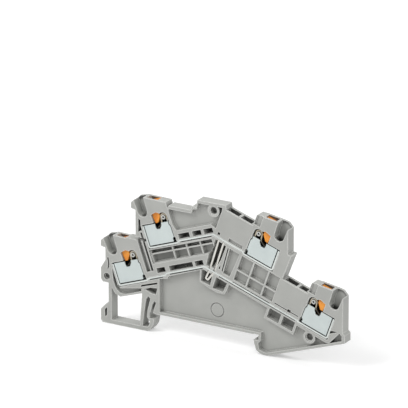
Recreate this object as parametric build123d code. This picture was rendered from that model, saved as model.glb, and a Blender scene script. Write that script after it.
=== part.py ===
"""Double-level push-in terminal block for a 35 mm top-hat rail, 3.5 mm wide, open on its near side.

X runs along the block's length, Y through its thickness, Z up from the seat on the rail.
The open side, where the clamps show, faces -Y.
"""
from build123d import *
from math import cos, radians, sin, tan
import os

# Block and rail
THICKNESS = 3.5
RAIL_WIDTH = 35.0
RAIL_SHEET = 1.0
RAIL_SLACK = 0.5
FRONT = -THICKNESS / 2
BACK = THICKNESS / 2

# Walls of the moulding
SKIN = 0.55
FLOOR = 0.7
RIB = 0.6
RIM = 0.85
WEB_DEPTH = 1.4
WEB_THICK = 0.8
FIT = 0.05
SLIDE_FIT = 0.1

# Current bars: both levels fall away from an apex at the same slope
TILT = 19.5
UPPER_APEX = (3.05, 27.57)
LOWER_APEX = (0.2, 17.39)
BAR_THICK = 0.5
BAR_BEND = 0.6
BAR_STEP = 0.5

# Clamping points, measured outward along the bar from its apex
UPPER_LEFT_START = 12.97
UPPER_RIGHT_START = 11.16
LOWER_LEFT_START = 20.73
LOWER_RIGHT_START = 32.72
LOWER_LEFT_DROP = 0.5
LOWER_RIGHT_LIFT = 0.3
LOWER_LEFT_JOG = 13.3

# Clamp cage
CAGE_LENGTH = 8.6
CAGE_BOTTOM = 0.1
CAGE_TOP = 6.1
CAGE_SHEET = 0.35
CAGE_INNER = 0.45
CAGE_NOTCH = [(2.8, 5.5), (3.6, 4.45), (4.75, 4.45), (4.95, 5.2)]
CAGE_GAP = 0.28

# Leaf spring on its post
POST_U = 1.65
POST_W = 7.5
POST_RADIUS = 0.65
POST_CORE = 0.3
SPRING_SHEET = 0.42
SPRING_FIT = 0.08
SPRING_WINDOW = 1.5

# Release button
BUTTON_INNER = 1.95
BUTTON_OUTER = 5.25
BUTTON_TOP = 12.7
BUTTON_TIP = 6.15
BUTTON_TIP_WIDTH = 0.8
BUTTON_TIP_CENTRE = 4.55
BUTTON_SLOT_DEPTH = 0.6
BUTTON_SLOT_LENGTH = 1.8
BUTTON_TRAVEL = 1.5

# Wire funnel
FUNNEL_CENTRE = 7.75
FUNNEL_WIDTH = 3.1
FUNNEL_BOTTOM = 8.65
WIRE_WAY = 2.3

# Tower outline, from the clamp's start on the bar
TOWER_WALL = 13.0
TOWER_INNER = 0.8
TAB_REACH = 1.5

# Bridge decks and shafts on the right-hand side
DECK_TOP = 9.0
UPPER_DECK_LENGTH = 11.0
LOWER_DECK_LENGTH = 9.9
SHAFT_BEAM = 0.7
SHAFT_FIRST = 3.9
SHAFT_BOTTOM = 1.6

# Hairpin contact between the levels
LINK_SHEET = 0.55
LINK_BEND = 0.3
LINK_SPAN = (2.1, 3.75)
LINK_NOSE = [(0.5, 13.85), (1.2, 13.5)]

# Cells and ribs beside the bars
CELL_LOW = 0.5
CELL_HIGH = 2.0
CELL_RIB_TOP = 3.05
PANEL_DEPTH = 0.55
FIELD_DEPTH = 1.9
GRID_DEPTH = 1.15
GRID_COLUMNS = [(10.4, 14.3), (14.8, 19.4), (19.9, 23.4)]
GROOVE = 0.32
GROOVE_DEPTH = 1.25

STOWAGE_START = 22.8
STOWAGE_STOP = 31.4
GATE_MARK = (3.7, 4.5)
GATE_RADIUS = 2.2
GATE_LINE = 0.3
GATE_DEPTH = 0.12

# Alignment sockets
SOCKET_RADIUS = 1.05
SOCKET_BOSS = 1.9
SMALL_SOCKET_RADIUS = 0.75
TOP_SOCKET = (3.2, 34.7)
LEFT_SOCKET = (-31.75, 8.55)
RIGHT_SOCKET = (34.0, 2.5)
TOP_SOCKET_MOUTH = 0.2
TOP_SOCKET_DEPTH = 1.8
RIGHT_SOCKET_MOUTH = 0.42
RIGHT_SOCKET_DEPTH = 1.6
LEFT_SOCKET_MOUTH = 0.7
LEFT_SOCKET_DEPTH = 1.3
MOUTH_STEP = 0.25

# Rail foot
FOOT_BOTTOM = -5.75
FOOT_LEFT = -31.2
FOOT_TAB_LEFT = -33.8
FOOT_FLOOR = 1.25
FOOT_WALL = 1.0
HOOK_NOSE = 1.3
HOOK_RELIEF = 0.15
HEEL_REACH = 2.9
UNDERSIDE_SLOPE = 18.8
RIGHT_END = 45.3
RIGHT_WALL = 2.27

# Values that follow from the ones above
COS = cos(radians(TILT))
SIN = sin(radians(TILT))
LEFT = -1
RIGHT = 1
INNER_FACE = FRONT + SKIN
FLOOR_FACE = BACK - FLOOR
WEB_FACE = FRONT + WEB_DEPTH
WEB_BACK = WEB_FACE + WEB_THICK
LINK_NEAR = FRONT + 0.35
LINK_FAR = FLOOR_FACE - 0.8
RAIL_TIP = RAIL_WIDTH / 2
CLAW_TIP = -RAIL_TIP
HEEL = RAIL_TIP + HEEL_REACH
UNDER_FLANGE = -RAIL_SLACK - RAIL_SHEET - 0.1
LOOP_RADIUS = POST_RADIUS + SPRING_FIT + SPRING_SHEET / 2
CAGE_SLOT_TOP = CAGE_TOP + CAGE_GAP
CAGE_SLOT_OUT = CAGE_LENGTH + CAGE_GAP + BAR_THICK + FIT

CLAMPS = {
    "upper_left": (UPPER_APEX, LEFT, UPPER_LEFT_START, 0.0),
    "lower_left": (LOWER_APEX, LEFT, LOWER_LEFT_START, LOWER_LEFT_DROP),
    "upper_right": (UPPER_APEX, RIGHT, UPPER_RIGHT_START, 0.0),
    "lower_right": (LOWER_APEX, RIGHT, LOWER_RIGHT_START, -LOWER_RIGHT_LIFT),
}


def on_bar(apex, side, along, up):
    """Point in X-Z at a distance along one arm of a bar and square to it."""
    x = apex[0] + side * (along * COS + up * SIN)
    z = apex[1] - along * SIN + up * COS
    return (x, z)


def at_clamp(name, u, w):
    """Point in X-Z in a clamp's own frame: u outward along the bar, w up from its middle line."""
    apex, side, start, drop = CLAMPS[name]
    return on_bar(apex, side, start + u, w - drop)


def from_clamp(name, outward, up):
    """Point in X-Z measured level and upright from a clamp's start."""
    x, z = at_clamp(name, 0, 0)
    return (x + CLAMPS[name][1] * outward, z + up)


def slab(profile, near, far):
    """Solid of an X-Z profile between two Y values, near being the open side."""
    return extrude(Plane.XZ.offset(-far) * profile, far - near)


def flat(points):
    """Flat polygon in X-Z."""
    return make_face(Polyline(*points, close=True))


def round_flat(centre, radius):
    """Flat disc in X-Z."""
    return Pos(*centre) * Circle(radius)


def joined(faces):
    """One flat profile of several that touch or overlap."""
    total = faces[0]
    for face in faces[1:]:
        total += face
    return total


def strip_flat(points, bend, thickness):
    """Edge of a bent sheet: a middle line with rounded bends, thickened to both sides."""
    line = FilletPolyline(*points, radius=bend)
    return make_face(offset(line, thickness / 2, side=Side.BOTH))


def bar_flat(apex, side, start, stop, low, high):
    """Flat box along an arm of a bar, between two heights square to it."""
    corners = [(start, low), (stop, low), (stop, high), (start, high)]
    return flat([on_bar(apex, side, a, w) for a, w in corners])


def bar_row(apex, side, spans, low, high):
    """Row of flat boxes along an arm of a bar."""
    return [bar_flat(apex, side, a, b, low, high) for a, b in spans]


def clamp_flat(name, corners):
    """Flat polygon with its corners in a clamp's own frame."""
    return flat([at_clamp(name, u, w) for u, w in corners])


def clamp_box(name, inner, outer, low, high):
    """Flat box square to a clamp's own frame."""
    return clamp_flat(name, [(inner, low), (outer, low), (outer, high), (inner, high)])


def tower(name):
    """Outline of a clamp tower, from under the bar up to the wire funnel and the button."""
    if CLAMPS[name][1] == LEFT:
        crown = [(TOWER_WALL, 7.2), (TOWER_WALL + TAB_REACH, 7.5), (TOWER_WALL + TAB_REACH, 9.2),
                 (13.9, 9.8), (12.9, 10.8), (10.5, 11.4), (3.2, 11.2)]
        foot = (TOWER_WALL, -1.0)
    else:
        crown = [(TOWER_WALL + 0.5, 9.3), (12.2, 10.7), (10.4, 11.1), (5.8, 11.9), (3.6, 12.1)]
        foot = (TOWER_WALL + 0.5, -1.0)
    outer = [from_clamp(name, dx, dz) for dx, dz in [foot] + crown]
    inner = [at_clamp(name, -TOWER_INNER, 9.0), at_clamp(name, -TOWER_INNER, -1.2)]
    return flat(outer + inner)


def underside(x):
    """Height of the slanted underside at a place along the block."""
    return FOOT_BOTTOM + (x - HEEL) * tan(radians(UNDERSIDE_SLOPE))


def base():
    """Outline of the lower body: rail seat, fixed hook, slanted underside, up to the lower bar."""
    seat_end = RAIL_TIP - HOOK_NOSE - 0.1
    end_top = underside(RIGHT_END) + RIGHT_WALL
    return flat([
        (CLAW_TIP + 2.2, 0.0),
        (seat_end, 0.0),
        (seat_end, HOOK_RELIEF),
        (RAIL_TIP + 0.3, HOOK_RELIEF),
        (RAIL_TIP + 0.3, UNDER_FLANGE),
        (RAIL_TIP - HOOK_NOSE, UNDER_FLANGE),
        (RAIL_TIP - HOOK_NOSE + 0.2, -2.6),
        (RAIL_TIP - 0.5, -4.6),
        (RAIL_TIP + 0.7, FOOT_BOTTOM + 0.35),
        (RAIL_TIP + 1.9, FOOT_BOTTOM),
        (HEEL, FOOT_BOTTOM),
        (RIGHT_END, underside(RIGHT_END)),
        (RIGHT_END, end_top),
        (RIGHT_END - 1.1, end_top + 1.2),
        on_bar(LOWER_APEX, RIGHT, 41.5, 1.0),
        on_bar(LOWER_APEX, RIGHT, 0, 1.0),
        on_bar(LOWER_APEX, LEFT, LOWER_LEFT_START, 1.0),
        (FOOT_LEFT, 10.5),
        (FOOT_LEFT, 4.2),
        (-30.2, 5.6),
        (-29.0, 4.0),
        (-27.3, 3.3),
        (CLAW_TIP - 2.7, 5.5),
        (CLAW_TIP + 2.2, 5.5),
    ])


def middle():
    """Outline between the two levels and above the upper bar, with the stepped top wall."""
    return flat([
        on_bar(LOWER_APEX, RIGHT, 0, 0),
        on_bar(LOWER_APEX, LEFT, LOWER_LEFT_START, 0),
        at_clamp("lower_left", 2.0, 13.0),
        at_clamp("upper_left", 6.0, 0),
        at_clamp("upper_left", 0.2, 9.2),
        (-11.4, 33.6),
        (-4.3, 33.6),
        (-3.8, 34.8),
        (-2.4, 34.8),
        (-2.0, 37.0),
        (7.2, 37.0),
        at_clamp("upper_right", -UPPER_DECK_LENGTH + 1.3, DECK_TOP),
        at_clamp("upper_right", 0, DECK_TOP),
        at_clamp("upper_right", 2.0, 0),
        from_clamp("upper_right", TOWER_WALL + 0.5, 2.0),
        from_clamp("upper_right", TOWER_WALL + 1.6, 1.8),
        at_clamp("lower_right", -LOWER_DECK_LENGTH + 0.6, DECK_TOP),
        at_clamp("lower_right", 0, DECK_TOP),
        at_clamp("lower_right", 2.0, 0),
    ])


def left_foot():
    """Sprung foot: outer wall, floor, window wall, flexible leg and the claw round the rail's edge."""
    claw_nose = CLAW_TIP + HOOK_NOSE
    outline = flat([
        (FOOT_LEFT, 6.6), (FOOT_LEFT, 0.9), (-32.3, -0.1), (FOOT_TAB_LEFT, -1.7), (FOOT_TAB_LEFT, -5.0),
        (-33.1, FOOT_BOTTOM), (CLAW_TIP - 1.0, FOOT_BOTTOM), (CLAW_TIP, -5.1), (CLAW_TIP + 1.0, -3.6),
        (claw_nose, UNDER_FLANGE - 0.3), (claw_nose, UNDER_FLANGE), (CLAW_TIP - 0.2, UNDER_FLANGE),
        (CLAW_TIP - 0.2, 0.2), (CLAW_TIP + 2.3, 0.0), (CLAW_TIP + 2.3, 6.6),
    ])
    window_floor = FOOT_BOTTOM + FOOT_FLOOR
    window_left = FOOT_LEFT + FOOT_WALL
    window = [(window_left, window_floor), (CLAW_TIP - 3.4, window_floor), (CLAW_TIP - 2.6, 5.5),
              (-27.3, 3.1), (-29.0, 3.8), (window_left, 5.4)]
    outer_slot = [(CLAW_TIP + dx, z) for dx, z in [
        (-2.5, window_floor), (-0.7, window_floor + 0.1), (0.0, -2.9), (-1.0, -1.4), (-0.8, 1.0), (0.1, 4.4),
        (-0.6, 5.0), (-1.3, 4.0), (-2.2, -1.8)]]
    inner_slot = [(CLAW_TIP + dx, z) for dx, z in [
        (0.1, 0.05), (0.9, 0.05), (1.3, 1.6), (2.0, 3.5), (1.3, 3.8), (0.7, 2.6)]]
    tab_slot = [(-32.5, -1.7), (-31.7, -0.9), (-31.8, -3.3), (-32.4, -3.9)]
    for hole in (window, outer_slot, inner_slot, tab_slot):
        outline -= flat(hole)
    return outline


def left_boss():
    """Outline of the small socket's boss at the left edge."""
    wall = [(-33.7, 7.6), (-33.1, 6.7), (-31.0, 6.7), (-31.0, 13.6), (-32.1, 13.6), (-33.7, 11.0)]
    return flat(wall) + round_flat(LEFT_SOCKET, SOCKET_BOSS)


def outline():
    """Whole silhouette of the moulding."""
    shapes = [base(), middle(), left_foot(), left_boss()]
    return joined(shapes + [tower(name) for name in CLAMPS])


def lower_recess():
    """Large recess of the lower body, which leaves a rim along the seat and the slanted underside."""
    under = -BAR_THICK / 2 - RIB - 0.1
    inner_heel = FOOT_BOTTOM + RIM
    inner_end = RIGHT_END - 1.0
    end_top = underside(RIGHT_END) + RIGHT_WALL
    return flat([
        (CLAW_TIP + 3.1, RIM), (RAIL_TIP + 1.0, RIM), (RAIL_TIP + 1.0, UNDER_FLANGE), (RAIL_TIP + 0.1, -2.6),
        (RAIL_TIP + 0.5, -4.3), (RAIL_TIP + 2.0, inner_heel), (HEEL - 0.1, inner_heel),
        (inner_end, underside(inner_end) + RIM), (inner_end, end_top - 0.2),
        (RIGHT_END - 1.7, end_top + 0.4),
        on_bar(LOWER_APEX, RIGHT, 43.0, -1.2),
        on_bar(LOWER_APEX, RIGHT, 42.0, -1.6),
        on_bar(LOWER_APEX, RIGHT, 0, under),
        on_bar(LOWER_APEX, LEFT, 12.6, under),
        on_bar(LOWER_APEX, LEFT, 13.2, under - 0.6),
        (CLAW_TIP + 3.1, 10.9),
    ])


def top_recess():
    """Recess under the stepped top wall, down to the rib over the upper cells."""
    return flat([
        on_bar(UPPER_APEX, LEFT, -0.2, CELL_RIB_TOP),
        on_bar(UPPER_APEX, LEFT, UPPER_LEFT_START - 1.4, CELL_RIB_TOP),
        at_clamp("upper_left", -TOWER_INNER, 5.0),
        at_clamp("upper_left", -TOWER_INNER, 9.0),
        (-11.4, 32.6), (-4.0, 32.6), (-3.5, 34.0), (-2.3, 34.1), (-1.8, 36.1), (6.1, 36.1),
        at_clamp("upper_right", -UPPER_DECK_LENGTH, DECK_TOP - 1.0),
        at_clamp("upper_right", -UPPER_DECK_LENGTH, 2.2),
    ])


def islands():
    """Walled pockets and bosses that stand up in the recesses."""
    wall = 0.7
    stowage = bar_flat(LOWER_APEX, RIGHT, STOWAGE_START - wall, STOWAGE_STOP + wall, -4.0 - wall, -0.3)
    contact = flat([(-1.2, 16.2), (-1.3, 12.6), (1.6, 11.2), (4.4, 10.3), (6.7, 10.2), (7.5, 11.4),
                    (8.5, 14.2)])
    bosses = [round_flat(centre, SOCKET_BOSS) for centre in (TOP_SOCKET, RIGHT_SOCKET)]
    return [stowage, contact] + bosses


def left_cells():
    """Deep cells over both bars of the left half."""
    rooms = bar_row(UPPER_APEX, LEFT, [(7.65, 11.4), (3.6, 6.6), (-0.4, 2.7)], CELL_LOW, CELL_HIGH)
    rooms += bar_row(LOWER_APEX, LEFT, [(13.0, 15.9), (3.5, 11.5), (-0.1, 2.7)], CELL_LOW, CELL_HIGH)
    return rooms


def right_cells():
    """Deep rooms of the right half: contact shafts and the slits under the upper bar."""
    rooms = contact_shafts()
    rooms += bar_row(UPPER_APEX, RIGHT, GRID_COLUMNS, -1.85, -1.3)
    return rooms


def stowage_pockets():
    """The two pockets that hang under the right arm of the lower bar."""
    middle_beam = (STOWAGE_START + STOWAGE_STOP) / 2
    spans = [(STOWAGE_START, middle_beam - 0.4), (middle_beam + 0.4, STOWAGE_STOP)]
    return bar_row(LOWER_APEX, RIGHT, spans, -4.0, -0.9)


def contact_cells():
    """The two cells of the pocket under the apex of the lower bar."""
    first = [(-0.6, 16.3), (-0.9, 12.9), (2.1, 12.0), (2.95, 15.6)]
    second = [(4.1, 15.0), (2.9, 11.4), (6.3, 10.9), (7.6, 13.7)]
    return [flat(first), flat(second)]


def upper_arm_flat(corners):
    """Flat polygon with its corners along the right arm of the upper bar and square to it."""
    return flat([on_bar(UPPER_APEX, RIGHT, along, up) for along, up in corners])


def contact_shafts():
    """Deep gaps on both sides of the hairpin's blades, and the narrow gap beyond the last rib."""
    left_gap = [(1.2, -0.9), (1.25, -3.1), (0.6, -5.2), (1.15, -9.75), (2.2, -9.75), (1.9, -0.9)]
    middle_gap = [(2.2, -1.0), (3.6, -1.0), (3.6, -9.45), (2.5, -9.45)]
    right_gap = [(3.9, -1.2), (4.9, -1.2), (4.8, -5.9), (4.3, -8.3), (3.9, -8.3)]
    last_gap = [(5.55, -1.4), (5.9, -1.4), (6.45, -9.0), (6.1, -9.0)]
    eye = [(5.2, -7.3), (4.95, -8.7), (5.5, -8.7)]
    return [upper_arm_flat(corners) for corners in (left_gap, middle_gap, right_gap, last_gap, eye)]


def left_panel():
    """Panel between the levels at the left, and the strip recessed over the right arm of the upper bar."""
    panel = bar_flat(UPPER_APEX, LEFT, 0.9, 22.6, -5.2, -1.1)
    return [panel, bar_flat(UPPER_APEX, RIGHT, 5.0, 9.6, 0.55, 1.5)]


def left_grid():
    """Deeper fields of the left panel, and the slits beside the two left towers."""
    columns = [(1.3, 5.1), (5.6, 9.85), (10.35, 14.65), (15.15, 22.2)]
    narrow = flat([(-20.7, 23.8), (-20.1, 24.0), (-16.3, 13.1), (-16.95, 12.85)])
    wedge = flat([(-21.3, 28.1), (-20.6, 27.6), (-20.5, 25.9), (-20.1, 24.6), (-21.3, 24.0)])
    slit = flat([(-31.6, 14.2), (-31.2, 14.5), (-30.85, 12.4), (-31.2, 10.9), (-31.5, 10.9), (-31.25, 12.4)])
    fields = bar_row(UPPER_APEX, LEFT, columns, -2.25, -1.3)
    fields += bar_row(UPPER_APEX, LEFT, columns, -5.05, -2.7)
    return fields + [narrow, wedge, slit]


def left_channels():
    """Wide channel beside the lower left tower, and the curved one under its clamp."""
    beside = flat([(-21.9, 22.2), (-20.8, 22.6), (-17.2, 12.7), (-18.5, 12.3)])
    under = flat([(-30.0, 11.5), (-29.6, 7.6), (-28.7, 5.4), (-27.3, 4.2), (-25.6, 4.2), (-20.4, 6.1),
                  (-20.2, 7.0), (-27.2, 5.7), (-28.2, 6.6)])
    return [beside, under]


def bar_grooves():
    """Narrow grooves along the edges of the bars, and the strips recessed above them."""
    edge = BAR_THICK / 2
    grooves = [
        bar_flat(UPPER_APEX, LEFT, 0.6, UPPER_LEFT_START - 1.6, -edge - GROOVE, -edge),
        bar_flat(LOWER_APEX, LEFT, 0.6, LOWER_LEFT_JOG - 1.2, -edge - GROOVE, -edge),
        bar_flat(LOWER_APEX, LEFT, LOWER_LEFT_JOG + 1.2, LOWER_LEFT_START - 1.6, -1.05, -0.7),
        bar_flat(LOWER_APEX, RIGHT, 5.2, LOWER_RIGHT_START - 1.6, -edge - GROOVE, -edge),
        bar_flat(LOWER_APEX, RIGHT, 9.6, 22.3, edge, edge + 0.27),
        bar_flat(LOWER_APEX, RIGHT, 23.6, 31.6, 1.1, 1.4),
        bar_flat(LOWER_APEX, RIGHT, 28.0, 29.0, 0.9, 1.75),
        bar_flat(UPPER_APEX, RIGHT, 5.0, 9.6, 1.25, 1.6),
        bar_flat(UPPER_APEX, RIGHT, 1.2, 1.95, 0.75, 1.6),
    ]
    return grooves


def right_grid():
    """Two rows of fields between the levels at the right, with thin ribs between them."""
    first = bar_row(UPPER_APEX, RIGHT, GRID_COLUMNS, -5.85, -1.8)
    return first + bar_row(UPPER_APEX, RIGHT, GRID_COLUMNS, -9.4, -6.3)


def lower_left_slots():
    """Slots between the lower-left bar and the arch over the sprung foot."""
    first = [(-20.3, 8.0), (-15.2, 9.7), (-15.0, 9.2), (-20.6, 7.4)]
    second = [(-19.9, 6.7), (-17.4, 7.7), (-15.1, 7.9), (-15.6, 5.9), (-17.3, 6.1), (-18.9, 6.9)]
    return [flat(first), flat(second)]


def cage_room(name):
    """Open room of a clamp cage and of the upturned end of its bar, wider at its inner bottom corner."""
    bar_floor = -BAR_STEP - BAR_THICK / 2 - 3 * FIT
    return clamp_flat(name, [
        (-CAGE_GAP - 0.2, bar_floor), (CAGE_SLOT_OUT, bar_floor), (CAGE_SLOT_OUT, CAGE_SLOT_TOP),
        (CAGE_INNER - CAGE_GAP, CAGE_SLOT_TOP), (CAGE_INNER - CAGE_GAP, CAGE_TOP - 0.9),
        (-0.15, CAGE_TOP - 1.2), (-0.2, 1.35), (-CAGE_GAP - 0.2, 1.2),
    ])


def tower_rooms(name):
    """Rooms behind a tower's near wall: button guide, spring room and wire way."""
    outer = BUTTON_OUTER + SLIDE_FIT
    guide = clamp_box(name, BUTTON_INNER - SLIDE_FIT, outer, CAGE_TOP, 15.5)
    spring_room = clamp_box(name, -0.05, outer, CAGE_TOP, POST_W + SPRING_WINDOW)
    half_way = WIRE_WAY / 2
    way_top = FUNNEL_BOTTOM + FUNNEL_WIDTH / 2
    wire_way = clamp_box(name, FUNNEL_CENTRE - half_way, FUNNEL_CENTRE + half_way, CAGE_TOP, way_top)
    return [guide, spring_room, wire_way]


def spring_window(name):
    """Opening of a tower's near wall over the spring loop and the button's tip."""
    low = CAGE_SLOT_TOP - 0.3
    outer = BUTTON_OUTER + SLIDE_FIT
    view = clamp_flat(name, [(0.0, low), (outer, low), (outer, POST_W + 1.35), (3.5, POST_W + 1.85),
                             (2.8, POST_W + 1.5), (0.15, POST_W)])
    return round_flat(at_clamp(name, POST_U, POST_W), SPRING_WINDOW) + view


def wire_funnel(name):
    """Round-bottomed wire entry, open to the near side and to the top, flaring upward."""
    half = FUNNEL_WIDTH / 2
    low = FUNNEL_BOTTOM + half
    shaft = clamp_flat(name, [(FUNNEL_CENTRE - half, low), (FUNNEL_CENTRE + half, low),
                              (FUNNEL_CENTRE + half + 0.45, 17.0), (FUNNEL_CENTRE - half - 0.2, 17.0)])
    return round_flat(at_clamp(name, FUNNEL_CENTRE, low), half) + shaft


def deck_shafts(name, length):
    """Two rectangular bridge shafts behind the flush face of a deck, open to the top."""
    inner = -length + 1.2
    split = inner + SHAFT_FIRST
    spans = [(inner, split), (split + SHAFT_BEAM, -1.5)]
    return [clamp_box(name, a, b, SHAFT_BOTTOM, 20.0) for a, b in spans]


def spring_post(name):
    """Round post that the leaf spring wraps, with its core hole."""
    centre = at_clamp(name, POST_U, POST_W)
    post = slab(round_flat(centre, POST_RADIUS), FRONT + 0.15, FLOOR_FACE + 0.1)
    return post - slab(round_flat(centre, POST_CORE), FRONT, FRONT + 1.2)


def socket(centre, radius, mouth, depth):
    """Blind round socket with a wider stepped mouth on the open side."""
    step = slab(round_flat(centre, radius + MOUTH_STEP), FRONT, FRONT + mouth)
    return step + slab(round_flat(centre, radius), FRONT, FRONT + depth)


def housing():
    """One moulding: towers, decks, ribs, recesses and the foot for the rail."""
    body = slab(outline(), FRONT, BACK)
    recess = lower_recess() + top_recess()
    hollow_back = lower_recess()
    for island in islands():
        recess -= island
        hollow_back -= island
    deep = left_cells() + right_cells() + contact_cells()
    for line in (upper_bar_line(), lower_bar_line()):
        deep.append(strip_flat(line, BAR_BEND, BAR_THICK + 2 * FIT))
    deep += [link_flat(LINK_SHEET + 2 * FIT)]
    inside = deck_shafts("upper_right", UPPER_DECK_LENGTH) + deck_shafts("lower_right", LOWER_DECK_LENGTH)
    windows = []
    for name in CLAMPS:
        deep += [cage_room(name), wire_funnel(name)]
        inside += tower_rooms(name)
        windows.append(spring_window(name))
        if CLAMPS[name][1] == RIGHT:
            windows.append(clamp_box(name, -0.55, 1.35, POST_W + 2.2, 13.0))
    contact_field = upper_arm_flat([(6.2, -1.3), (9.5, -1.3), (9.2, -6.0), (8.9, -9.3), (6.75, -9.3)])
    body -= slab(recess, FRONT, WEB_FACE)
    body -= slab(hollow_back, WEB_BACK, BACK)
    body -= slab(joined(left_panel()), FRONT, FRONT + PANEL_DEPTH)
    body -= slab(joined(left_grid()), FRONT, FRONT + FIELD_DEPTH)
    body -= slab(joined(lower_left_slots() + stowage_pockets()), FRONT, FRONT + FIELD_DEPTH)
    body -= slab(joined(bar_grooves()), FRONT, FRONT + GROOVE_DEPTH)
    body -= slab(joined(right_grid() + left_channels() + [contact_field]), FRONT, FRONT + GRID_DEPTH)
    body -= slab(joined(deep), FRONT, FLOOR_FACE)
    body -= slab(joined(inside), INNER_FACE, FLOOR_FACE)
    body -= slab(joined(windows), FRONT, INNER_FACE + 0.01)
    body -= socket(TOP_SOCKET, SOCKET_RADIUS, TOP_SOCKET_MOUTH, TOP_SOCKET_DEPTH)
    body -= socket(RIGHT_SOCKET, SOCKET_RADIUS, RIGHT_SOCKET_MOUTH, RIGHT_SOCKET_DEPTH)
    body -= socket(LEFT_SOCKET, SMALL_SOCKET_RADIUS, LEFT_SOCKET_MOUTH, LEFT_SOCKET_DEPTH)
    ring = round_flat(GATE_MARK, GATE_RADIUS) - round_flat(GATE_MARK, GATE_RADIUS - GATE_LINE)
    body -= slab(ring, WEB_FACE, WEB_FACE + GATE_DEPTH)
    for name in CLAMPS:
        body += spring_post(name)
    return body


def bar_end(name, jog):
    """Middle line of a bar from its step to the upturned end of a clamp."""
    drop = CLAMPS[name][3]
    last = CAGE_LENGTH + CAGE_GAP + BAR_THICK / 2
    step = [at_clamp(name, -1.2, drop if jog is None else jog), at_clamp(name, -0.5, -BAR_STEP)]
    return step + [at_clamp(name, last, -BAR_STEP), at_clamp(name, last, CAGE_TOP - 0.3)]


def upper_bar_line():
    """Middle line of the upper current bar, from the left end to the right end."""
    left = bar_end("upper_left", None)
    right = bar_end("upper_right", None)
    return left[::-1] + [UPPER_APEX] + right


def lower_bar_line():
    """Middle line of the lower current bar, with the extra jog of its left arm."""
    left = bar_end("lower_left", 0.0)
    jog = [on_bar(LOWER_APEX, LEFT, LOWER_LEFT_JOG + 0.5, -LOWER_LEFT_DROP),
           on_bar(LOWER_APEX, LEFT, LOWER_LEFT_JOG - 0.3, 0)]
    right = bar_end("lower_right", None)
    return left[::-1] + jog + [LOWER_APEX] + right


def current_bar(line):
    """Bent copper strip that joins two clamping points on one level."""
    bar = slab(strip_flat(line, BAR_BEND, BAR_THICK), FRONT + FIT, FLOOR_FACE - FIT)
    return bar - slab(link_flat(LINK_SHEET + 2 * FIT), LINK_NEAR - FIT, LINK_FAR + FIT)


def clamp_cage(name):
    """Folded sheet cage: notched near plate, plain far plate and the floor that joins them."""
    far = FLOOR_FACE - FIT
    rim = CAGE_TOP + 0.2
    lower = [(CAGE_INNER, CAGE_BOTTOM), (CAGE_LENGTH, CAGE_BOTTOM), (CAGE_LENGTH, CAGE_TOP),
             (CAGE_INNER, CAGE_TOP)]
    near_plate = clamp_flat(name, lower + [(CAGE_INNER, CAGE_TOP - 1.0), (0.1, CAGE_TOP - 1.35), (0.0, 1.4),
                                           (CAGE_INNER, 1.1)])
    near_plate -= clamp_flat(name, [(CAGE_NOTCH[0][0], rim)] + CAGE_NOTCH + [(CAGE_NOTCH[-1][0], rim)])
    far_plate = clamp_flat(name, lower)
    floor = clamp_box(name, CAGE_INNER, CAGE_LENGTH - 0.6, CAGE_BOTTOM, CAGE_BOTTOM + CAGE_SHEET)
    near_plate = slab(near_plate, FRONT, FRONT + CAGE_SHEET)
    return near_plate + slab(far_plate, far - CAGE_SHEET, far) + slab(floor, FRONT, far)


def leaf_spring(name):
    """Strip spring: a loop round the post, a leg held in the cage and a leg that grips the wire."""
    hold = POST_U - LOOP_RADIUS
    press = POST_U + LOOP_RADIUS
    seat = CAGE_BOTTOM + CAGE_SHEET + SPRING_SHEET / 2 + SPRING_FIT
    path = [(3.2, seat), (hold + 0.2, seat), (hold, POST_W)]
    start, foot, low = [Vector(*at_clamp(name, u, w)) for u, w in path]
    crown = Vector(*at_clamp(name, POST_U, POST_W + LOOP_RADIUS))
    right = Vector(*at_clamp(name, press, POST_W))
    knee = Vector(*at_clamp(name, press + 0.25, CAGE_TOP - 0.4))
    edge = Vector(*at_clamp(name, CAGE_LENGTH - 1.4, CAGE_BOTTOM + 3.1))
    line = Line(start, foot) + Line(foot, low) + ThreePointArc(low, crown, right)
    line += Line(right, knee) + Line(knee, edge)
    sheet = make_face(offset(line, SPRING_SHEET / 2, side=Side.BOTH))
    return slab(sheet, FRONT + CAGE_SHEET + 0.1, FLOOR_FACE - CAGE_SHEET - 0.15)


def release_button(name):
    """Push button: slotted head in the guide, tapering to the tip over the spring."""
    tip_in = BUTTON_TIP_CENTRE - BUTTON_TIP_WIDTH / 2
    tip_out = BUTTON_TIP_CENTRE + BUTTON_TIP_WIDTH / 2
    waist = POST_U + LOOP_RADIUS + SPRING_SHEET / 2 + SLIDE_FIT
    shoulder = CAGE_TOP + BUTTON_TRAVEL + 0.25
    near = INNER_FACE + SLIDE_FIT
    far = FLOOR_FACE - SLIDE_FIT
    head = clamp_flat(name, [(BUTTON_INNER, BUTTON_TOP), (BUTTON_INNER, BUTTON_TOP - 1.4),
                             (waist, BUTTON_TOP - 2.4), (waist, shoulder), (BUTTON_OUTER, shoulder),
                             (BUTTON_OUTER, BUTTON_TOP)])
    tip = clamp_flat(name, [(waist, shoulder), (tip_in, BUTTON_TIP), (tip_out, BUTTON_TIP),
                            (BUTTON_OUTER, shoulder)])
    middle = (BUTTON_INNER + BUTTON_OUTER) / 2
    half = BUTTON_SLOT_LENGTH / 2
    slot = clamp_box(name, middle - half, middle + half, BUTTON_TOP - BUTTON_SLOT_DEPTH, BUTTON_TOP + 1)
    tip_far = FLOOR_FACE - FIT - CAGE_SHEET - SLIDE_FIT
    return slab(head, near, far) + slab(tip, near, tip_far) - slab(slot, near + 0.6, far - 0.6)


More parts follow.
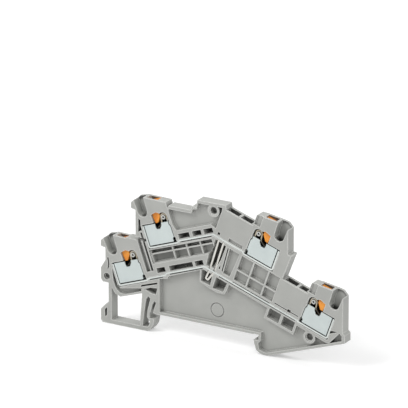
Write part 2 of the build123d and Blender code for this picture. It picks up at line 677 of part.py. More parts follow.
def link_line():
    """Middle line of the hairpin: down from the upper bar, round its nose and up again."""
    neck = -BAR_THICK / 2 - LINK_SHEET
    return [
        on_bar(UPPER_APEX, RIGHT, LINK_SPAN[0], neck),
        on_bar(LOWER_APEX, RIGHT, 1.75, 0),
        LINK_NOSE[0],
        LINK_NOSE[1],
        on_bar(LOWER_APEX, RIGHT, 3.3, 0),
        on_bar(UPPER_APEX, RIGHT, LINK_SPAN[1], neck),
    ]


def link_flat(thickness):
    """Edge of the hairpin, or of the room for it."""
    return strip_flat(link_line(), LINK_BEND, thickness)


def level_link():
    """Hairpin contact strip that joins the two levels, its nose hanging below the lower bar."""
    return slab(link_flat(LINK_SHEET), LINK_NEAR, LINK_FAR)


def build_parts():
    """Every sub-part under its node name."""
    parts = {
        "housing": housing(),
        "upper_current_bar": current_bar(upper_bar_line()),
        "lower_current_bar": current_bar(lower_bar_line()),
        "level_link_contact": level_link(),
    }
    for name in CLAMPS:
        parts[name + "_clamp_cage"] = clamp_cage(name)
        parts[name + "_leaf_spring"] = leaf_spring(name)
        parts[name + "_release_button"] = release_button(name)
    return parts


def main():
    """Write one STEP file for each sub-part."""
    os.makedirs("parts", exist_ok=True)
    for name, solid in build_parts().items():
        export_step(solid, "parts/" + name + ".step")


if __name__ == "__main__":
    main()
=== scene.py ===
"""Double-level push-in terminal block, 3.5 mm wide, on a pale studio floor."""
import logging
import math
from dataclasses import dataclass
from enum import Enum
from typing import Any

import bpy
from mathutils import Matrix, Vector


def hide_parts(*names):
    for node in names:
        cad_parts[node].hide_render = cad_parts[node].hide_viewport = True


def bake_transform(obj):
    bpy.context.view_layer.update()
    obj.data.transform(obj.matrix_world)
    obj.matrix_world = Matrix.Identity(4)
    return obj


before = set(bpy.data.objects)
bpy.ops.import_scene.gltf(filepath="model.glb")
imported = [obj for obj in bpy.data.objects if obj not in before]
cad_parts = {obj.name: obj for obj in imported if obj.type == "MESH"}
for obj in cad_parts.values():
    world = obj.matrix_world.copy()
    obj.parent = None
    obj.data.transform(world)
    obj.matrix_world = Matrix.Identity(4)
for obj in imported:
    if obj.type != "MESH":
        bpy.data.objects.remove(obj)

LOG = logging.getLogger("terminal_block")

Span = tuple[float, float]
Place = tuple[float, float, float]
Colour = tuple[float, float, float, float]

MM = 0.001
TILT = math.radians(19.5)
FRONT_FACE = -1.75 * MM

WHITE: Colour = (1.0, 1.0, 1.0, 1.0)
TONE_SPREAD: Span = (0.35, 0.65)
GRAIN_SPREAD: Span = (0.3, 0.7)

# A Mix node has sockets of the same name for each kind of data, so its colour sockets go by number.
MIX_FACTOR, MIX_LOW, MIX_HIGH, MIX_RESULT = 0, 6, 7, 2


class Corner(Enum):
    """The four clamping points, by level and side."""

    UPPER_LEFT = "upper_left"
    LOWER_LEFT = "lower_left"
    UPPER_RIGHT = "upper_right"
    LOWER_RIGHT = "lower_right"


@dataclass(frozen=True)
class Seat:
    """Place of one clamping point on its current bar, with lengths in metres."""

    apex: Span
    side: int
    start: float
    drop: float

    def point(self, outward: float, up: float, y: float) -> Vector:
        """Point in the block's frame.

        Args:
            outward: Distance along the bar from the clamping point's start.
            up: Height square to the bar.
            y: Place through the block's thickness.

        Returns:
            The point.
        """
        along = self.start + outward
        height = up - self.drop
        x = self.apex[0] + self.side * (along * math.cos(TILT) + height * math.sin(TILT))
        z = self.apex[1] - along * math.sin(TILT) + height * math.cos(TILT)
        return Vector((x, y, z))


UPPER_APEX: Span = (3.05 * MM, 27.57 * MM)
LOWER_APEX: Span = (0.2 * MM, 17.39 * MM)
SEATS = {
    Corner.UPPER_LEFT: Seat(UPPER_APEX, -1, 12.97 * MM, 0.0),
    Corner.LOWER_LEFT: Seat(LOWER_APEX, -1, 20.73 * MM, 0.5 * MM),
    Corner.UPPER_RIGHT: Seat(UPPER_APEX, 1, 11.16 * MM, 0.0),
    Corner.LOWER_RIGHT: Seat(LOWER_APEX, 1, 32.72 * MM, -0.3 * MM),
}


@dataclass(frozen=True)
class Spot:
    """Round area of the housing where the painted recess shade is lifted or a painted shadow is added, in
    metres.
    """

    middle: Place
    inner: float
    outer: float
    share: float


class Lay(Enum):
    """Direction in which a sheet metal was rolled, as the stretch of its lines."""

    ALONG_BAR = (0.06, 1.0, 1.0)
    ACROSS_BAR = (1.0, 1.0, 0.06)


class Flow:
    """A node's output socket that takes part in Python arithmetic.

    Args:
        bench: The bench whose node tree the socket belongs to.
        socket: The output socket that carries the value.
    """

    def __init__(self, bench: "Bench", socket: bpy.types.NodeSocket) -> None:
        """Keep the socket and the bench that it belongs to."""
        self.bench = bench
        self.socket = socket

    def _math(self, operation: str, first: Any, second: Any) -> "Flow":
        """Add one Math node.

        Args:
            operation: Name of the Math node's operation.
            first: Left value or Flow.
            second: Right value or Flow.

        Returns:
            The node's result.
        """
        return self.bench.node("ShaderNodeMath", {"operation": operation}, {0: first, 1: second})

    def __add__(self, other: Any) -> "Flow":
        """Sum."""
        return self._math("ADD", self, other)

    def __radd__(self, other: Any) -> "Flow":
        """Sum with a number on the left."""
        return self._math("ADD", other, self)

    def __sub__(self, other: Any) -> "Flow":
        """Difference."""
        return self._math("SUBTRACT", self, other)

    def __rsub__(self, other: Any) -> "Flow":
        """Difference with a number on the left."""
        return self._math("SUBTRACT", other, self)

    def __mul__(self, other: Any) -> "Flow":
        """Product."""
        return self._math("MULTIPLY", self, other)

    def __rmul__(self, other: Any) -> "Flow":
        """Product with a number on the left."""
        return self._math("MULTIPLY", other, self)

    def larger(self, other: Any) -> "Flow":
        """Larger of this and another value."""
        return self._math("MAXIMUM", self, other)


class Bench:
    """Adds the nodes of one tree.

    Args:
        tree: The node tree.
    """

    def __init__(self, tree: bpy.types.NodeTree) -> None:
        """Keep the tree."""
        self.tree = tree

    def node(self, kind: str, settings: dict[str, Any] | None = None,
             sockets: dict[int | str, Any] | None = None, out: int | str = 0) -> Flow:
        """Add any node.

        Args:
            kind: The node's type.
            settings: Attributes set before the sockets; "stops" is a colour ramp's list of stops.
            sockets: Values, colours or Flows for the inputs, by index or name.
            out: Index or name of the output that is returned.

        Returns:
            The chosen output.
        """
        made = self.tree.nodes.new(kind)
        for key, value in (settings or {}).items():
            if key == "stops":
                self._stops(made.color_ramp, value)
            else:
                setattr(made, key, value)
        for key, value in (sockets or {}).items():
            if isinstance(value, Flow):
                self.tree.links.new(value.socket, made.inputs[key])
            else:
                made.inputs[key].default_value = value
        return Flow(self, made.outputs[out])

    @staticmethod
    def _stops(ramp: bpy.types.ColorRamp, stops: tuple[tuple[float, Colour], ...]) -> None:
        """Set a colour ramp's stops.

        Args:
            ramp: The ramp of a Color Ramp node.
            stops: Place and colour of each stop, in order.
        """
        while len(ramp.elements) < len(stops):
            ramp.elements.new(1.0)
        for element, (place, colour) in zip(ramp.elements, stops):
            element.position = place
            element.color = colour

    def end(self, kind: str, last: Flow) -> None:
        """Link the last node to the tree's output.

        Args:
            kind: Type of the output node.
            last: What goes into its first socket.
        """
        output = self.tree.nodes.new(kind)
        self.tree.links.new(last.socket, output.inputs[0])


class Shop(Bench):
    """Shader nodes of one new material or world.

    Args:
        owner: The material or world.
    """

    def __init__(self, owner: bpy.types.Material | bpy.types.World) -> None:
        """Start from an empty node tree."""
        owner.use_nodes = True
        super().__init__(owner.node_tree)
        self.tree.nodes.clear()
        self.owner = owner

    def place(self) -> Flow:
        """Object coordinates."""
        return self.node("ShaderNodeTexCoord", out="Object")

    def pattern(self, stretch: Place, turn: float = 0.0) -> Flow:
        """Object coordinates, turned about Y and stretched for a pattern.

        Args:
            stretch: Factor for each direction after the turn.
            turn: Turn about the Y axis in radians.

        Returns:
            The pattern's coordinates.
        """
        turned = self.node("ShaderNodeMapping", {}, {"Vector": self.place(), "Rotation": (0.0, turn, 0.0)})
        return self.node("ShaderNodeMapping", {}, {"Vector": turned, "Scale": stretch})

    def noise(self, where: Flow, scale: float, detail: float = 3.0, roughness: float = 0.5) -> Flow:
        """Grey noise between about 0.2 and 0.8.

        Args:
            where: Coordinates.
            scale: Cells per metre of the coordinates.
            detail: Number of octaves.
            roughness: Strength of the finer octaves.

        Returns:
            The noise's factor.
        """
        return self.node("ShaderNodeTexNoise", {}, {
            "Vector": where, "Scale": scale, "Detail": detail, "Roughness": roughness})

    def mix(self, factor: Flow, low: Flow | Colour, high: Flow | Colour) -> Flow:
        """Mix two colours.

        Args:
            factor: Share of the second colour.
            low: First colour.
            high: Second colour.

        Returns:
            The mixed colour.
        """
        sockets = {MIX_FACTOR: factor, MIX_LOW: low, MIX_HIGH: high}
        return self.node("ShaderNodeMix", {"data_type": "RGBA"}, sockets, out=MIX_RESULT)

    def level(self, value: Flow, start: float, stop: float, low: float = 0.0, high: float = 1.0) -> Flow:
        """Map a range of values to another, held at both ends.

        Args:
            value: The input.
            start: Input that gives low.
            stop: Input that gives high.
            low: Result at start.
            high: Result at stop.

        Returns:
            The mapped value.
        """
        return self.node("ShaderNodeMapRange", {}, {0: value, 1: start, 2: stop, 3: low, 4: high})

    def gap(self, where: Flow, point: Place) -> Flow:
        """Distance from a fixed point.

        Args:
            where: Coordinates.
            point: The point, in metres.

        Returns:
            The distance in metres.
        """
        ends = {0: where, 1: point}
        return self.node("ShaderNodeVectorMath", {"operation": "DISTANCE"}, ends, out="Value")

    def rounded(self, radius: float) -> Flow:
        """Normal that rounds sharp edges.

        Args:
            radius: Radius of the rounding in metres.

        Returns:
            The rounded normal.
        """
        return self.node("ShaderNodeBevel", {"samples": 4}, {"Radius": radius})

    def facing_recess(self, start: float, stop: float) -> Flow:
        """Share of depth below the open face, on surfaces that face the open side.

        Args:
            start: Y in metres that gives 0.
            stop: Y in metres that gives 1.

        Returns:
            The share, 0 on walls and on the outer face.
        """
        wall, flat = -0.6, -0.95
        normal = self.node("ShaderNodeNewGeometry", out="Normal")
        depth, facing = (self.node("ShaderNodeSeparateXYZ", {}, {0: source}, out="Y")
                         for source in (self.place(), normal))
        return self.level(depth, start, stop) * self.level(facing, wall, flat)

    def openness(self, reach: float, closed: float, clear: float) -> Flow:
        """Share of the surroundings that is open, which is low deep in narrow rooms.

        Args:
            reach: How far walls count, in metres.
            closed: Open share that gives 0.
            clear: Open share that gives 1.

        Returns:
            The share, 1 on faces that stand free.
        """
        settings = {"samples": 8, "only_local": True}
        share = self.node("ShaderNodeAmbientOcclusion", settings, {"Distance": reach}, out="AO")
        return self.level(share, closed, clear)

    def edge_highlight(self, radius: float) -> Flow:
        """Share of a band along every sharp edge, for a painted highlight.

        Args:
            radius: Width of the band in metres.

        Returns:
            The share, 0 on plain faces.
        """
        plain_face, edge = 0.999, 0.96
        sharp = self.node("ShaderNodeNewGeometry", out="Normal")
        vectors = {0: self.rounded(radius), 1: sharp}
        same = self.node("ShaderNodeVectorMath", {"operation": "DOT_PRODUCT"}, vectors, out="Value")
        return self.level(same, plain_face, edge)

    def spots(self, where: Flow, spots: tuple[Spot, ...]) -> Flow:
        """Sum of several round areas, each fading out between its two radii.

        Args:
            where: Coordinates.
            spots: The areas, at least one.

        Returns:
            The sum of their shares.
        """
        total: Flow | float = 0.0
        for spot in spots:
            total = total + self.level(self.gap(where, spot.middle), spot.inner, spot.outer, spot.share, 0.0)
        return total

    def bump(self, height: Flow, depth: float, normal: Flow, strength: float) -> Flow:
        """Normal of a surface with a fine relief.

        Args:
            height: Relief between 0 and 1.
            depth: Height of the relief in metres.
            normal: Normal under the relief.
            strength: Share of the relief's effect.

        Returns:
            The new normal.
        """
        return self.node("ShaderNodeBump", {}, {
            "Height": height, "Distance": depth, "Strength": strength, "Normal": normal})

    def surface(self, sockets: dict[str, Any]) -> bpy.types.Material:
        """Finish the material with a Principled shader.

        Args:
            sockets: Values and links of the shader's inputs.

        Returns:
            The material.
        """
        self.end("ShaderNodeOutputMaterial", self.node("ShaderNodeBsdfPrincipled", {}, sockets))
        return self.owner

    def seen(self) -> Flow:
        """Whether the camera looks here, straight or by way of a mirror or glass.

        Returns:
            1 or 0.
        """
        straight, mirrored, through = (self.node("ShaderNodeLightPath", out=kind) for kind in (
            "Is Camera Ray", "Is Glossy Ray", "Is Transmission Ray"))
        return straight.larger(mirrored).larger(through)


@dataclass(frozen=True)
class MouldedPlastic:
    """Grained polyamide of the housing, with painted shade in its recesses, creases and gate groove and a
    painted highlight along its open edges.
    """

    name: str = "housing_polyamide"
    face: Colour = (0.425, 0.430, 0.408, 1.0)
    shade: Colour = (0.385, 0.390, 0.370, 1.0)
    # Painted shade colour of recesses, creases and the gate groove, and the depth span over which recess
    # floors take it.
    deep: Colour = (0.060, 0.060, 0.055, 1.0)
    recess_shade_depths: Span = (-0.25 * MM, 1.10 * MM)
    # Reach and mapping of the occlusion share that sets the painted shade deep in narrow rooms.
    reach: float = 2.2 * MM
    openness: Span = (-0.12, 0.46)
    # Colour, band width and openness range of a painted highlight along open sharp edges.
    edge_highlight: Colour = (0.66, 0.665, 0.64, 1.0)
    highlight_width: float = 0.42 * MM
    highlight_openness: Span = (0.7, 0.95)
    # Reach and mapping of the short occlusion share that sets the painted shade in creases.
    crease_reach: float = 0.9 * MM
    crease: Span = (-0.25, 0.88)
    # Place, radii and share of the wire funnels kept out of the painted recess shade.
    funnel: Span = (7.9 * MM, 11.0 * MM)
    funnel_radii: Span = (2.3 * MM, 3.0 * MM)
    funnel_share: float = 0.92
    recessed: Span = (-1.30 * MM, -0.90 * MM)
    # Middle, radii, fade and share of the painted shade in the gate mark's groove.
    gate_middle: Place = (3.7 * MM, -0.35 * MM, 4.5 * MM)
    gate_radii: Span = (1.9 * MM, 2.2 * MM)
    gate_fade: float = 0.15 * MM
    gate_share: float = 0.5
    clouds: float = 140.0
    grain: float = 5500.0
    grain_depth: float = 0.012 * MM
    rough: Span = (0.42, 0.56)
    edge: float = 0.13 * MM
    # The first tuple of spots lifts the painted recess shade; the second adds painted shadow on recess
    # floors.
    pale: tuple[Spot, ...] = (
        Spot((5.2 * MM, 0.0, 12.9 * MM), 1.6 * MM, 2.6 * MM, 0.40),
        Spot((-18.8 * MM, 0.5 * MM, 17.6 * MM), 3.2 * MM, 5.0 * MM, 0.60))
    shadow_spots: tuple[Spot, ...] = (
        Spot((-13.5 * MM, -0.6 * MM, 18.8 * MM), 2.0 * MM, 7.5 * MM, 0.50),
        Spot((16.5 * MM, -0.6 * MM, 16.8 * MM), 5.0 * MM, 7.5 * MM, 0.14),
        Spot((23.3 * MM, 0.0, 6.5 * MM), 1.5 * MM, 2.5 * MM, 0.40),
        Spot((27.2 * MM, 0.0, 5.0 * MM), 1.5 * MM, 2.5 * MM, 0.55))

    def gate_ring(self, shop: Shop, where: Flow) -> Flow:
        """Share of painted shade in the round groove of the moulding's gate mark.

        Args:
            shop: The material's shop.
            where: Coordinates.

        Returns:
            The share, 0 away from the groove.
        """
        gap = shop.gap(where, self.gate_middle)
        inner, outer = self.gate_radii
        outside_in = shop.level(gap, inner - self.gate_fade, inner, 0.0, self.gate_share)
        return outside_in * shop.level(gap, outer, outer + self.gate_fade, 1.0, 0.0)

    def funnels(self) -> tuple[Spot, ...]:
        """Areas of the four wire funnels, whose floors are kept out of the painted recess shade."""
        return tuple(Spot(tuple(seat.point(*self.funnel, 0.0)), *self.funnel_radii, self.funnel_share)
                     for seat in SEATS.values())

    def material(self) -> bpy.types.Material:
        """Build the material."""
        shop = Shop(bpy.data.materials.new(self.name))
        where = shop.place()
        cloud = shop.noise(where, self.clouds, 2.0)
        fine = shop.noise(where, self.grain, 2.0, 0.6)
        plain_face = shop.mix(shop.level(cloud * 0.8 + fine * 0.2, *TONE_SPREAD), self.shade, self.face)
        recess = shop.facing_recess(*self.recessed)
        # Painted shadow in round spots on recess floors.
        spot_shaded = shop.mix(recess * shop.spots(where, self.shadow_spots), plain_face, self.deep)
        # Painted shade: recess floors darken with depth below the open face, except on the funnel floors and
        # the pale spots.
        depth = shop.facing_recess(*self.recess_shade_depths) * (1.0 - shop.spots(where, self.funnels() + self.pale))
        depth_shaded = shop.mix(depth, spot_shaded, self.deep)
        # Painted shade in creases and in deep narrow rooms, from the occlusion share.
        crease_shaded = shop.mix(shop.openness(self.crease_reach, *self.crease), self.deep, depth_shaded)
        open_share = shop.openness(self.reach, *self.openness)
        shaded = shop.mix(open_share, self.deep, crease_shaded)
        # Painted highlight: a pale band along sharp edges that stand open.
        edges = shop.edge_highlight(self.highlight_width) * shop.level(open_share, *self.highlight_openness)
        edge_highlighted = shop.mix(edges, shaded, self.edge_highlight)
        # Painted shade in the gate mark's groove.
        colour = shop.mix(recess * self.gate_ring(shop, where), edge_highlighted, self.deep)
        return shop.surface({
            "Base Color": colour, "Roughness": shop.level(fine, *GRAIN_SPREAD, *self.rough),
            "Normal": shop.bump(fine, self.grain_depth, shop.rounded(self.edge), 0.5),
            "Specular IOR Level": 0.45, "IOR": 1.5})


@dataclass(frozen=True)
class ButtonPlastic:
    """Smooth orange plastic of the release buttons."""

    name: str = "button_orange"
    face: Colour = (0.90, 0.345, 0.035, 1.0)
    shade: Colour = (0.74, 0.235, 0.018, 1.0)
    clouds: float = 420.0
    grain: float = 7000.0
    grain_depth: float = 0.006 * MM
    rough: Span = (0.28, 0.42)
    edge: float = 0.12 * MM

    def material(self) -> bpy.types.Material:
        """Build the material."""
        shop = Shop(bpy.data.materials.new(self.name))
        where = shop.place()
        cloud = shop.noise(where, self.clouds)
        fine = shop.noise(where, self.grain, 2.0)
        return shop.surface({
            "Base Color": shop.mix(shop.level(cloud, *TONE_SPREAD), self.shade, self.face),
            "Roughness": shop.level(fine, *GRAIN_SPREAD, *self.rough),
            "Normal": shop.bump(fine, self.grain_depth, shop.rounded(self.edge), 0.4), "IOR": 1.5})


@dataclass(frozen=True)
class RolledMetal:
    """Rolled, tin-plated sheet metal with fine lines along the rolling direction, and painted shade on its
    deeper faces where a depth span is given.
    """

    name: str
    bright: Colour
    dull: Colour
    rough: Span
    lay: Lay = Lay.ALONG_BAR
    metallic: float = 1.0
    turn: float = 0.0
    # Depth span and colour of painted shade on faces deep inside, if any.
    painted_shade_depths: Span | None = None
    shade_colour: Colour = (0.02, 0.02, 0.02, 1.0)
    clouds: float = 260.0
    lines: float = 16000.0
    line_depth: float = 0.003 * MM
    tone_spread: Span = (0.36, 0.64)
    edge: float = 0.06 * MM

    def material(self) -> bpy.types.Material:
        """Build the material."""
        shop = Shop(bpy.data.materials.new(self.name))
        lines = shop.noise(shop.pattern(self.lay.value, self.turn), self.lines, roughness=0.6)
        cloud = shop.noise(shop.place(), self.clouds)
        colour = shop.mix(shop.level(lines * 0.45 + cloud * 0.55, *self.tone_spread), self.dull, self.bright)
        # Painted shade on faces that lie deeper than the given span.
        if self.painted_shade_depths is not None:
            colour = shop.mix(shop.facing_recess(*self.painted_shade_depths), colour, self.shade_colour)
        return shop.surface({
            "Base Color": colour, "Metallic": self.metallic,
            "Roughness": shop.level(cloud * 0.5 + lines * 0.5, *GRAIN_SPREAD, *self.rough),
            "Normal": shop.bump(lines, self.line_depth, shop.rounded(self.edge), 0.35)})


@dataclass(frozen=True)
class SpringSteel:
    """Tempered strip steel, brownish at the loop, with painted shade that darkens it along the legs."""

    name: str
    loop: Place
    tints: tuple[tuple[float, Colour], ...] = (
        (0.30, (0.30, 0.255, 0.185, 1.0)), (0.55, (0.42, 0.375, 0.29, 1.0)), (0.75, (0.36, 0.36, 0.35, 1.0)))
    # Colour, largest share and fade distances of a painted shade that darkens the strip away from its loop.
    shade_colour: Colour = (0.03, 0.028, 0.024, 1.0)
    shade_share: float = 0.93
    fade: Span = (1.7 * MM, 2.6 * MM)
    clouds: float = 700.0
    lines: float = 14000.0
    stretch: Place = (1.0, 0.08, 1.0)
    line_depth: float = 0.003 * MM
    rough: Span = (0.26, 0.40)
    edge: float = 0.05 * MM

    def material(self) -> bpy.types.Material:
        """Build the material."""
        shop = Shop(bpy.data.materials.new(self.name))
        where = shop.place()
        lines = shop.noise(shop.pattern(self.stretch), self.lines, 2.0)
        cloud = shop.noise(where, self.clouds)
        tinted = shop.node("ShaderNodeValToRGB", {"stops": self.tints}, {"Fac": cloud})
        # Painted shade: the strip darkens with distance from its loop.
        away = shop.level(shop.gap(where, self.loop), *self.fade, 0.0, self.shade_share)
        return shop.surface({
            "Base Color": shop.mix(away, tinted, self.shade_colour), "Metallic": 1.0,
            "Roughness": shop.level(lines, *GRAIN_SPREAD, *self.rough),
            "Normal": shop.bump(lines, self.line_depth, shop.rounded(self.edge), 0.3)})


def dress(node: str, material: bpy.types.Material) -> None:
    """Give every material slot of a CAD node one material.

    Args:
        node: Name of the node.
        material: The material.
    """
    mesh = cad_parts[node].data
    if not mesh.materials:
        mesh.materials.append(material)
    for index in range(len(mesh.materials)):
        mesh.materials[index] = material


def show(name: str, data: bpy.types.ID) -> bpy.types.Object:
    """Put a mesh, lamp or camera into the scene.

    Args:
        name: Name of the object.
        data: What the object holds.

    Returns:
        The object, at the origin.
    """
    made = bpy.data.objects.new(name, data)
    bpy.context.scene.collection.objects.link(made)
    return made


@dataclass
class Housing:
    """The one grey moulding."""

    finish: MouldedPlastic = MouldedPlastic()

    def build(self) -> None:
        """Dress the moulding."""
        dress("housing", self.finish.material())
        LOG.info("housing dressed")


@dataclass
class Conductors:
    """The two current bars and the hairpin contact between them."""

    bar: RolledMetal = RolledMetal(
        "tinned_bar", bright=(0.64, 0.67, 0.645, 1.0), dull=(0.52, 0.55, 0.535, 1.0), rough=(0.20, 0.34))
    link: RolledMetal = RolledMetal(
        "tinned_hairpin", bright=(0.64, 0.63, 0.59, 1.0), dull=(0.51, 0.50, 0.465, 1.0), rough=(0.26, 0.40),
        lay=Lay.ACROSS_BAR)

    def build(self) -> None:
        """Dress the conductors."""
        metal = self.bar.material()
        dress("upper_current_bar", metal)
        dress("lower_current_bar", metal)
        dress("level_link_contact", self.link.material())
        LOG.info("conductors dressed")


class StripTree(Bench):
    """Geometry node tree that sweeps a strip's rounded section along its middle line."""

    def __init__(self) -> None:
        """Build the tree with named inputs for the strip's sizes and its finish."""
        super().__init__(bpy.data.node_groups.new("swept_spring_strip", "GeometryNodeTree"))
        kinds = {"Line": "NodeSocketGeometry"}
        kinds |= {label: "NodeSocketFloat" for label in ("Thickness", "Width", "Bend", "Edge", "Step")}
        kinds["Finish"] = "NodeSocketMaterial"
        sockets = self.tree.interface
        self.inputs = {label: sockets.new_socket(label, in_out="INPUT", socket_type=kind).identifier
                       for label, kind in kinds.items()}
        sockets.new_socket("Strip", in_out="OUTPUT", socket_type="NodeSocketGeometry")
        start = self.tree.nodes.new("NodeGroupInput")
        given = {label: Flow(self, start.outputs[label]) for label in self.inputs}
        line = self.node("GeometryNodeMeshToCurve", {}, {"Mesh": given["Line"]})
        bent = self.node("GeometryNodeFilletCurve", {"mode": "POLY"}, {
            "Curve": line, "Count": 4, "Radius": given["Bend"], "Limit Radius": True})
        even = self.node("GeometryNodeResampleCurve", {"mode": "LENGTH"}, {
            "Curve": bent, "Length": given["Step"]})
        oblong = self.node("GeometryNodeCurvePrimitiveQuadrilateral", {"mode": "RECTANGLE"}, {
            "Width": given["Width"], "Height": given["Thickness"]})
        section = self.node("GeometryNodeFilletCurve", {"mode": "POLY"}, {
            "Curve": oblong, "Count": 2, "Radius": given["Edge"], "Limit Radius": True})
        swept = self.node("GeometryNodeCurveToMesh", {}, {
            "Curve": even, "Profile Curve": section, "Fill Caps": True})
        real = self.node("GeometryNodeRealizeInstances", {}, {"Geometry": swept})
        done = self.node("GeometryNodeSetMaterial", {}, {"Geometry": real, "Material": given["Finish"]})
        self.end("NodeGroupOutput", done)

    def sweep(self, name: str, line: list[Vector], values: dict[str, Any]) -> bpy.types.Object:
        """Make one strip.

        Args:
            name: The piece's name.
            line: Points of the strip's middle line.
            values: Value of each named input.

        Returns:
            The piece, a plain mesh at the origin.
        """
        mesh = bpy.data.meshes.new(name + "_line")
        mesh.from_pydata([tuple(p) for p in line], [(i, i + 1) for i in range(len(line) - 1)], [])
        piece = show(name, mesh)
        modifier = piece.modifiers.new("sweep", "NODES")
        modifier.node_group = self.tree
        for label, value in values.items():
            modifier[self.inputs[label]] = value
        evaluated = piece.evaluated_get(bpy.context.evaluated_depsgraph_get())
        swept = bpy.data.meshes.new_from_object(evaluated)
        piece.modifiers.remove(modifier)
        piece.data = swept
        return piece


@dataclass
class ClampPoint:
    """Cage, spring and button of one clamping point."""

    corner: Corner
    cage: bpy.types.Material
    button: bpy.types.Material
    strip: StripTree
    thickness: float = 0.42 * MM
    near: float = -1.30 * MM
    far: float = 0.55 * MM
    bend: float = 0.30 * MM
    edge: float = 0.06 * MM
    step: float = 0.20 * MM
    post: Span = (1.65 * MM, 7.5 * MM)
    loop: float = 0.94 * MM
    loop_steps: int = 16
    seat_height: float = 0.74 * MM
    heel: float = 0.20 * MM
    knee: Span = (2.84 * MM, 5.7 * MM)
    grip: Span = (7.2 * MM, 3.2 * MM)
    still: float = 3.2 * MM
    pushed: float = 5.3 * MM

    def line(self) -> list[Vector]:
        """Middle line of the spring: leg in the cage, loop round the post, leg under the button.

        Returns:
            The points.
        """
        centre, height = self.post
        flat = [(self.still, self.seat_height), (centre - self.loop + self.heel, self.seat_height)]
        for i in range(self.loop_steps + 1):
            angle = math.pi * (1 - i / self.loop_steps)
            flat.append((centre + self.loop * math.cos(angle), height + self.loop * math.sin(angle)))
        flat += [self.knee, self.grip]
        middle = (self.near + self.far) / 2
        return [SEATS[self.corner].point(outward, up, middle) for outward, up in flat]

    def spring(self) -> bpy.types.Object:
        """Sweep the spring and hide the CAD leaf spring.

        Returns:
            The piece, which stands for the CAD spring.
        """
        name = self.corner.value
        seat = SEATS[self.corner]
        finish = SpringSteel(name + "_strip_steel", tuple(seat.point(*self.post, self.near))).material()
        piece = self.strip.sweep(name + "_spring_strip", self.line(), {
            "Thickness": self.thickness, "Width": self.far - self.near, "Bend": self.bend, "Edge": self.edge,
            "Step": self.step, "Finish": finish})
        seat.point(self.still, 0.0, 0.0)
        seat.point(self.pushed, 0.0, 0.0)
        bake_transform(piece)
        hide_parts(name + "_leaf_spring")
        return piece

    def build(self) -> None:
        """Dress the cage and the button, and make the spring."""
        name = self.corner.value
        dress(name + "_clamp_cage", self.cage)
        dress(name + "_release_button", self.button)
        made = self.spring()
        LOG.info("%s clamping point dressed, %s has %d faces", name, made.name, len(made.data.polygons))


@dataclass(frozen=True)
class Lamp:
    """Square soft lamp, with its place and the length of its side in metres and its power in watts."""

    name: str
    place: Place
    side: float
    watts: float

    def build(self, aim: Vector) -> None:
        """Hang the lamp.

        Args:
            aim: The point that it shines at.
        """
        data = bpy.data.lights.new(self.name, "AREA")
        data.shape = "SQUARE"
        data.size = self.side
        data.energy = self.watts
        piece = show(self.name, data)
        piece.location = self.place
        piece.rotation_mode = "QUATERNION"
        piece.rotation_quaternion = (aim - Vector(self.place)).to_track_quat("-Z", "Y")


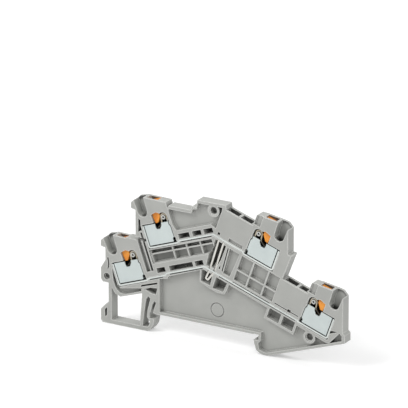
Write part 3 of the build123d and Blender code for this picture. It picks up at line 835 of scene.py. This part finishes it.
@dataclass
class Studio:
    """Floor, lamps, world and camera."""

    floor_level: float = -5.75 * MM
    floor_half: float = 6.0
    floor_dark: Colour = (0.80, 0.80, 0.80, 1.0)
    floor_light: Colour = (0.82, 0.82, 0.82, 1.0)
    floor_clouds: float = 30.0
    glow_near: Colour = (0.30, 0.30, 0.30, 1.0)
    glow_far: Colour = (0.75, 0.75, 0.75, 1.0)
    glow_span: Span = (0.12, 0.90)
    room_light: Span = (0.42, 1.0)
    lamps: tuple[Lamp, ...] = (
        Lamp("key_lamp", (-0.35, -0.45, 0.65), 0.45, 3.7),
        Lamp("side_lamp", (0.55, -0.35, 0.40), 0.5, 1.3),
        Lamp("top_lamp", (0.05, 0.25, 0.75), 0.6, 1.8))
    lamp_aim: Place = (5.0 * MM, 0.0, 15.0 * MM)
    azimuth: float = 29.5
    elevation: float = 20.0
    distance: float = 1.5
    sensor: float = 36.0
    clip: Span = (0.05, 30.0)
    frame_pixels: int = 408
    pixels_per_mm: float = 3.528
    aim_up: float = 34.0 * MM
    aim_across: float = 0.14 * MM

    def floor(self) -> None:
        """Large pale floor that keeps the object's shadow and shows white round it."""
        mesh = bpy.data.meshes.new("studio_floor")
        half = self.floor_half
        corners = [(half * x, half * y, self.floor_level) for x, y in ((-1, -1), (1, -1), (1, 1), (-1, 1))]
        mesh.from_pydata(corners, [], [(0, 1, 2, 3)])
        shop = Shop(bpy.data.materials.new("pale_floor"))
        where = shop.place()
        colour = shop.mix(shop.noise(where, self.floor_clouds, 2.0), self.floor_dark, self.floor_light)
        matt = shop.node("ShaderNodeBsdfDiffuse", {}, {"Color": colour})
        far = shop.node("ShaderNodeVectorMath", {"operation": "LENGTH"}, {0: where}, out="Value")
        white = shop.mix(shop.level(far, *self.glow_span), self.glow_near, self.glow_far)
        glow = shop.node("ShaderNodeEmission", {}, {"Color": white, "Strength": shop.seen()})
        shop.end("ShaderNodeOutputMaterial", shop.node("ShaderNodeAddShader", {}, {0: matt, 1: glow}))
        mesh.materials.append(shop.owner)
        show("studio_floor", mesh)

    def world(self) -> None:
        """Even soft light, white where the camera or a reflection looks past the floor."""
        world = bpy.data.worlds.new("soft_room")
        bpy.context.scene.world = world
        shop = Shop(world)
        strength = shop.level(shop.seen(), 0.0, 1.0, *self.room_light)
        light = shop.node("ShaderNodeBackground", {}, {"Color": WHITE, "Strength": strength})
        shop.end("ShaderNodeOutputWorld", light)

    def camera(self) -> None:
        """Long-lens camera at the photograph's viewing angle."""
        data = bpy.data.cameras.new("camera")
        piece = show("camera", data)
        bpy.context.scene.camera = piece
        a, e = math.radians(self.azimuth), math.radians(self.elevation)
        back = Vector((math.sin(a) * math.cos(e), -math.cos(a) * math.cos(e), math.sin(e)))
        across = Vector((math.cos(a), math.sin(a), 0.0))
        up = back.cross(across)
        aim = Vector((0.0, FRONT_FACE, 0.0)) + up * self.aim_up + across * self.aim_across
        piece.location = aim + back * self.distance
        piece.rotation_mode = "QUATERNION"
        piece.rotation_quaternion = (-back).to_track_quat("-Z", "Y")
        width = self.frame_pixels / self.pixels_per_mm * MM
        data.sensor_width = self.sensor
        data.lens = self.sensor * self.distance / width
        data.clip_start, data.clip_end = self.clip

    def build(self) -> None:
        """Set the stage, the light and the camera."""
        self.floor()
        self.world()
        for lamp in self.lamps:
            lamp.build(Vector(self.lamp_aim))
        self.camera()
        LOG.info("studio set")


def main() -> None:
    """Build every class in order."""
    logging.basicConfig(level=logging.INFO, format="%(name)s: %(message)s")
    bpy.context.scene.view_settings.view_transform = "Standard"
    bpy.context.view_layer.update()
    Housing().build()
    Conductors().build()
    # The cage sheet takes painted shade on the faces that lie deeper inside the cage.
    cage = RolledMetal(
        "tinned_cage_sheet", bright=(0.545, 0.595, 0.585, 1.0), dull=(0.495, 0.545, 0.54, 1.0),
        rough=(0.36, 0.50), metallic=0.85, turn=TILT, painted_shade_depths=(-1.38 * MM, -1.20 * MM)).material()
    button = ButtonPlastic().material()
    strip = StripTree()
    for corner in Corner:
        ClampPoint(corner, cage, button, strip).build()
    Studio().build()
    bpy.context.view_layer.update()


if __name__ == "__main__":
    main()
